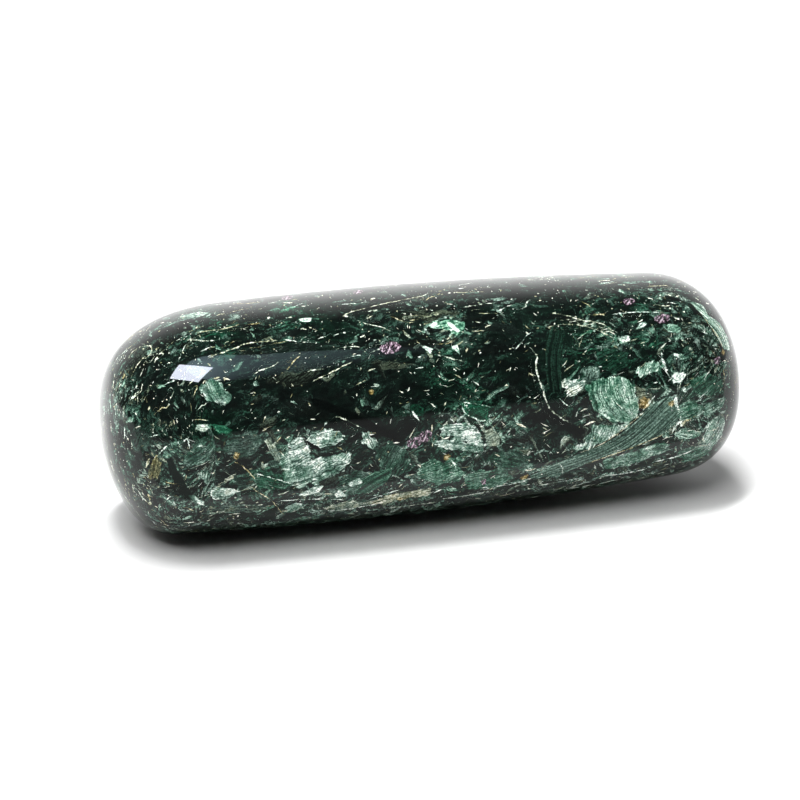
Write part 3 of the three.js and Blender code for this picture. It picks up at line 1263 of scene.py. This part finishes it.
def noise(place, grain, detail=2.0, roughness=0.5, output=0):
    """Cloudy noise whose spots measure about the grain, in millimetres."""
    inputs = {"Vector": place, "Scale": 1 / grain, "Detail": detail, "Roughness": roughness}
    return add_node(place.tree, "ShaderNodeTexNoise", inputs, output)


def vein(value, sharpness):
    """Thin bright lines where noise passes its middle value."""
    return (1 - abs(value - 0.5) * 2) ** sharpness


def bent(place, grain, reach):
    """The place pushed about by noise, so that straight borders turn ragged."""
    push = vector_sum("SUBTRACT", noise(place, grain, output=1), (0.5, 0.5, 0.5))
    return vector_sum("ADD", place, vector_sum("SCALE", push, scale=reach * 2))


def in_leaf_space(place, size, turn, shift):
    """The place in units of a leaf's size, turned in the leaves' plane."""
    inputs = {
        "Vector": place,
        "Location": (shift, shift * 0.7, -shift),
        "Rotation": (0, math.radians(turn), 0),
        "Scale": size,
    }
    return add_node(place.tree, "ShaderNodeMapping", inputs, vector_type="TEXTURE")


def fibre_space(place, angle, length, width):
    """The place in units of a fibre's length and width, for fibres at an angle in the leaves' plane."""
    x, y, z = parts_of(place)
    cosine = angle.math("COSINE")
    sine = angle.math("SINE")
    along = (x * cosine + z * sine) / length
    across = (z * cosine - x * sine) / width
    return vector_of(place.tree, along, across, y / (width * 2))


# %% Generations of mica leaves
# Each generation has the size of its leaves in mm along, into and up the stone, their turn in degrees, the
# share of them that shows in dark rock and how much that grows in pale rock, the range of their tones and how
# soft they fade out at their borders.
LEAF_GENERATIONS = {
    "beds": ((10.0, 2.0, 3.2), -14, 0.35, 0.6, 0.05, 0.36, 0.2),
    "broad_leaves": ((6.0, 0.9, 1.7), 20, 0.14, 0.65, 0.04, 0.6, 0.1),
    "wedges": ((3.0, 1.0, 1.7), -30, 0.16, 0.9, 0.03, 0.5, 0.2),
    "leaves": ((4.2, 0.7, 0.7), -36, 0.1, 0.6, 0.04, 0.75, 0.1),
    "cross_leaves": ((3.6, 0.7, 0.65), 62, 0.07, 0.5, 0.04, 0.75, 0.1),
}
# Splinters and dashes are leaves that are cut on edge, and lie over the broad flakes too: their length, depth
# and height in mm, their turn, the share of them that shows and the lowest of their tones.
DASH_GENERATIONS = {
    "rising_splinters": ((3.4, 0.5, 0.36), -14, 0.1, 0.06),
    "falling_splinters": ((2.9, 0.5, 0.32), 38, 0.08, 0.06),
    "steep_splinters": ((1.9, 0.4, 0.28), -62, 0.06, 0.06),
    "rising_hairs": ((3.2, 0.6, 0.15), -20, 0.055, 0.3),
    "falling_hairs": ((2.6, 0.5, 0.14), 36, 0.035, 0.3),
    "steep_hairs": ((2.0, 0.5, 0.14), -62, 0.03, 0.3),
    "dashes": ((1.2, 0.5, 0.2), -14, 0.035, 0.35),
    "specks": ((0.4, 0.4, 0.3), 12, 0.035, 0.4),
}
# Glitter lies only on the broad flakes.
GLITTER = ((0.42, 0.4, 0.28), 20, 0.07, 0.4)


def lay_over(look, share, tone, tint):
    """The tone and tint of the rock, with others laid over them."""
    return blend(share, look[0], tone), blend(share, look[1], tint)


def voronoi(spot, feature, **settings):
    inputs = {"Vector": spot, "Scale": 1.0}
    return add_node(spot.tree, "ShaderNodeTexVoronoi", inputs, feature=feature, **settings)


def sibling(wire, name):
    """Another output of the same node."""
    return Wire(wire.tree, wire.socket.node.outputs[name])


def leaf_generation(look, place, pale_share, values, shift, bare):
    """One generation of leaves. Each is lit from one side, with a bright rim there, and combed by fibres."""
    size, turn, share, pale_growth, low_tone, high_tone, softness = values
    spot = in_leaf_space(place, size, turn, shift)
    cells = voronoi(spot, "F1", distance="MANHATTAN")
    pick, turn_pick, tone_pick = parts_of(sibling(cells, "Color"))
    angle = turn_pick * math.tau
    off_x, _, off_z = parts_of(vector_sum("SUBTRACT", spot, sibling(cells, "Position")))
    lean = off_x * angle.math("COSINE") + off_z * angle.math("SINE")
    edge = (voronoi(spot, "F2", distance="MANHATTAN") - cells) * 0.5
    shows = pick.math("LESS_THAN", (pale_share * pale_growth + share) * bare)
    shows = shows * step_up(edge, 0.0, softness) * (tone_pick * 0.4 + 0.6)
    ridges = noise(fibre_space(place, angle * 0.5, size[0] * 0.5, size[2] * 0.12), 1.0, 2.0, 0.65)
    tone = blend(tone_pick * tone_pick, low_tone, high_tone)
    tone = tone * (step_up(lean, -0.45, 0.35) * 1.1 + 0.15)
    tone = tone * (step_up(ridges, 0.38, 0.62) * 0.8 + vein(ridges, 12) * 0.6 + 0.3)
    rim = step_up(edge, softness, 0.02) * step_up(lean, 0.1, 0.35) * step_up(tone_pick, 0.4, 0.8)
    return lay_over(look, shows, tone + rim * high_tone * 0.6, turn_pick * 0.9 - 0.4)


def dash_generation(look, place, values, shift, bare):
    """Small pointed dashes, because a squeezed cell is pointed when its distance runs along its axes."""
    size, turn, share, low_tone = values
    spot = in_leaf_space(place, size, turn, shift)
    cells = voronoi(spot, "F1", distance="MANHATTAN")
    pick, reach_pick, tone_pick = parts_of(sibling(cells, "Color"))
    reach = reach_pick * 0.3 + 0.16
    inside = step_up(reach - cells, -0.03, 0.03)
    shows = pick.math("LESS_THAN", bare * share) * inside
    return lay_over(look, shows, blend(tone_pick, low_tone, 1.0), 0.35 - reach_pick * 1.1)


# %% Marks in the material
def read_vector(tree, name):
    return add_node(tree, "ShaderNodeAttribute", None, "Vector", attribute_name=name)


def comb_noise(tree, along, across, seed, length, width):
    """Noise that is drawn out along a flake's comb."""
    return noise(vector_of(tree, along / length, across / width, seed * 3.7), 1.0, 2.0, 0.65)


def crumpling_of(place):
    """The noises that crumple the flakes: a push along and across, crumbs, bites and patches."""
    push_along, push_across, _ = parts_of(noise(place, 2.2, 3.0, 0.6, output=1))
    crumbs = noise(place, 0.5, 3.0, 0.7) - 0.5
    bites = noise(place, 1.5, 3.0, 0.6) - 0.5
    return push_along, push_across, crumbs, bites, noise(place, 1.6, 3.0, 0.65)


def flakes_over(look, crumpling, name, reach, depth, crumple):
    """Lays the flakes of one layer over the rock: thin plates on each other, combed, with splintered ends."""
    push_along, push_across, crumbs, bites, patches = crumpling
    tree = patches.tree
    edge, along, across = parts_of(read_vector(tree, name))
    tone, tint, seed = parts_of(read_vector(tree, name + "_look"))
    along = along + push_along * (crumple * 2)
    across = across + push_across * (crumple * 1.2)
    splinters = comb_noise(tree, along, across, seed, 1.6, 0.3) - 0.5
    rough_edge = edge + splinters * (reach * 1.6) + crumbs * reach + bites * (reach * crumple * 2.4)
    shows = step_up(rough_edge, 0.08, -0.04)
    fine = comb_noise(tree, along, across, seed, 3.4, 0.17)
    broad_ridges = comb_noise(tree, along, across, seed, 5.0, 0.5)
    plates = voronoi(vector_of(tree, along / 2.4, across / 0.8, seed * 5.1 + splinters), "F1")
    plate_tone, _, _ = parts_of(sibling(plates, "Color"))
    shade = step_up(patches, 0.32, 0.58) * 0.65 + plate_tone * 0.3 + 0.25
    shade = blend(crumple, 0.8, shade)
    shade = shade * (step_up(fine, 0.36, 0.62) * 0.8 + 0.4) + vein(broad_ridges, 14) * 0.35
    shade = blend(depth, 1.0, shade)
    rim = step_up(abs(rough_edge + 0.12), 0.14, 0.0) * step_up(patches, 0.45, 0.6)
    tint = tint + (0.5 - patches) * (crumple * 1.8)
    return *lay_over(look, shows, tone * (shade * 0.94 + rim * 0.5), tint), shows


def lines_over(look, place):
    """Lays the lines over the rock. They waver a little, and are broken here and there."""
    side, width, warmth = parts_of(read_vector(place.tree, "line"))
    waver = (noise(place, 0.7, 4.0, 0.7) - 0.5) * 0.5
    broken = step_up(noise(place, 0.9, 4.0, 0.7), 0.4, 0.58)
    half_width = width * (broken * 0.6 + 0.1)
    shows = step_up(half_width - abs(side + waver), -0.03, 0.03)
    tone = (0.95 - warmth * 0.35) * (broken * 0.45 + 0.55)
    return lay_over(look, shows, tone, 0.1 - warmth * 1.3)


# %% The rock's colours
# Each kind of mica has its colours at these tones.
MICA_TONES = (0, 0.12, 0.3, 0.5, 0.72, 1)
SILVER = list(zip(MICA_TONES, ("#060908", "#131b18", "#394b44", "#6c8378", "#a3b8ad", "#f4f8f2")))
GREEN = list(zip(MICA_TONES, ("#040a07", "#0e241a", "#1c4e39", "#468265", "#8fc0a2", "#eaf8ee")))
WARM = list(zip(MICA_TONES, ("#080906", "#1b1b10", "#4c4722", "#8a8050", "#c6bc92", "#faf7e8")))
RUBY = [(0, "#1a1318"), (0.3, "#4b3a46"), (0.6, "#86707f"), (1, "#cdbfc9")]
OCHRE = [(0, "#14120b"), (0.4, "#6b5a2c"), (0.7, "#a8945a"), (1, "#ece2bd")]
# Towards both ends of the stone the leaves bend round a centre: its distance from the stone's middle, its
# height and the radius at which they keep their length, in mm.
BEND_FROM = 33.0
BEND_HEIGHT = 16.0
BEND_RADIUS = 14.0
# How much rarer the splinters and dashes are on a broad flake.
COVERED_SHARE = 0.7
# How much rarer the leaves are in the darkest regions.
DARK_DEPTH = 0.9


def ground_of_rock(place, pale_share, green_share):
    """The dark rock between the leaves: dim clouds, crumpled veins and short threads."""
    dim = noise(in_leaf_space(place, (3.6, 1.6, 1.5), -16, 3.0), 1.0, 3.0, 0.65)
    crumple = noise(in_leaf_space(place, (2.4, 1.1, 1.0), -22, 9.0), 1.0, 3.0, 0.65)
    grit = noise(in_leaf_space(place, (1.3, 0.6, 0.5), -30, 6.0), 1.0, 3.0, 0.75)
    tone = step_up(dim, 0.34, 0.62) * (pale_share * 0.95 + 0.2)
    tone = tone * (step_up(grit, 0.38, 0.62) * 1.1 + 0.35)
    tone = tone + vein(crumple, 20) * step_up(grit, 0.42, 0.6) * (pale_share * 0.6 + 0.12)
    return tone, green_share * 0.8 + dim * 1.6 - 0.6


def threads_over(look, place, pale_share, bare):
    """Fine straight threads. They share one direction within a patch of rock, and another in the next."""
    patches = voronoi(in_leaf_space(place, (7.0, 2.2, 4.5), -20, 17.0), "F1")
    direction, strength, warmth = parts_of(sibling(patches, "Color"))
    threads = noise(fibre_space(place, direction * 1.9 - 0.6, 1.9, 0.11), 1.0, 3.0, 0.6)
    faint = step_up(threads, 0.5, 0.75) * (pale_share * 0.8 + 0.25)
    bright = step_up(threads, 0.66, 0.74) * (strength * 0.6 + 0.25) * bare
    tone = look[0] * (faint * 0.8 + 0.65) + faint * 0.16
    return lay_over((tone, look[1]), bright, strength * 0.5 + 0.35, 0.5 - warmth * 1.1)


def bent_round_ends(place):
    """The leaves run along the stone, and bend up and down round both its ends as the outline does."""
    x, y, z = parts_of(place)
    height = z - BEND_HEIGHT
    beyond = (abs(x) - BEND_FROM).math("MAXIMUM", 0)
    turn = beyond.math("ARCTAN2", abs(height))
    radius = (beyond * beyond + height * height).math("SQRT")
    along = (abs(x).math("MINIMUM", BEND_FROM) + turn * BEND_RADIUS) * x.math("SIGN")
    return vector_of(place.tree, along, y, radius * height.math("SIGN"))


def rock_colour(tree, place):
    """The rock's colour: ground, leaves, flakes, bands, scraps, lines, stains and grains in turn."""
    pale_share, green_share, stain = parts_of(read_vector(tree, "mood"))
    cloud = noise(place, 6.0, 3.0)
    bare = 1 - (pale_share * -1).math("MAXIMUM", 0) * DARK_DEPTH
    pale_share = (pale_share * 1.35 + cloud * 0.7 - 0.33).math("MAXIMUM", 0)
    flow = bent(bent(bent(bent_round_ends(place), 7.0, 1.8), 2.2, 0.3), 0.4, 0.05)
    tone, tint = ground_of_rock(flow, pale_share, green_share)
    look = tone * bare, tint
    for count, values in enumerate(LEAF_GENERATIONS.values()):
        look = leaf_generation(look, flow, pale_share, values, 13.7 * (count + 1), bare)
    look = threads_over(look, flow, pale_share, bare)
    crumpling = crumpling_of(place)
    *look, covered = flakes_over(look, crumpling, "flake", 0.6, 0.9, 1.0)
    bare = bare * (1 - covered * COVERED_SHARE)
    for count, values in enumerate(DASH_GENERATIONS.values()):
        look = dash_generation(look, flow, values, 7.9 * (count + 1), bare)
    *look, _ = flakes_over(look, crumpling, "band", 0.3, 1.0, 0.1)
    look = dash_generation(look, place, GLITTER, 40.0, covered * 0.8 + 0.2)
    *look, _ = flakes_over(look, crumpling, "scrap", 0.3, 0.5, 0.5)
    tone, tint = lines_over(look, place)
    cracks = vein(noise(in_leaf_space(flow, (3.0, 1.0, 1.2), 12, 31.0), 1.0, 3.0, 0.6), 50)
    tone = tone * (1 - cracks * 0.6)
    tone = tone * (step_up(noise(place, 0.25, 2.0, 0.6), 0.34, 0.62) * 0.55 + 0.75)
    tint = tint + green_share * 0.3
    colour = blend_colours(tint.math("MAXIMUM", 0, clamp=True), ramp(tone, SILVER), ramp(tone, GREEN))
    colour = blend_colours((tint * -1).math("MAXIMUM", 0, clamp=True), colour, ramp(tone, WARM))
    return stains_and_grains(colour, place, tone, stain)


def stains_and_grains(colour, place, tone, stain):
    """Ochre stains in the cracks, and the ruby grains with their squiggles of mica."""
    tree = place.tree
    patchy = noise(place, 0.6, 4.0, 0.75)
    stained = step_up(stain * patchy, 0.22, 0.42) * 0.85
    fleck = step_up(noise(place, 0.4, 3.0, 0.7), 0.35, 0.65)
    colour = blend_colours(stained, colour, ramp(tone * 0.5 + fleck * 0.8, OCHRE))
    edge, along, across = parts_of(read_vector(tree, "grain"))
    rough_edge = edge + (patchy - 0.5) * 0.8
    squiggle = noise(vector_of(tree, along / 0.5, across / 0.26, edge * 0.8), 1.0, 2.0, 0.6)
    shows = step_up(rough_edge, 0.05, -0.05) * step_up(squiggle, 0.36, 0.46)
    return blend_colours(shows, colour, ramp(step_up(squiggle, 0.38, 0.68), RUBY))


# The rock itself is dull. All its shine is the coat's.
POLISH = {
    "Roughness": 0.5,
    "Specular IOR Level": 0.0,
    "Coat Weight": 1.0,
    "Coat Roughness": 0.03,
    "Coat IOR": 1.36,
}


def make_rock():
    rock.use_nodes = True
    tree = rock.node_tree
    place = vector_sum("SCALE", add_node(tree, "ShaderNodeTexCoord", output="Object"), scale=1 / MM)
    shader = tree.nodes["Principled BSDF"]
    plug(tree, shader.inputs["Base Color"], rock_colour(tree, place))
    for name, value in POLISH.items():
        shader.inputs[name].default_value = value


make_rock()
print("The rock's material has", len(rock.node_tree.nodes), "nodes")

# %% Hand over the piece
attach(stone, "root")
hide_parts(CAD_NODE)
bpy.context.scene.view_settings.view_transform = "Standard"
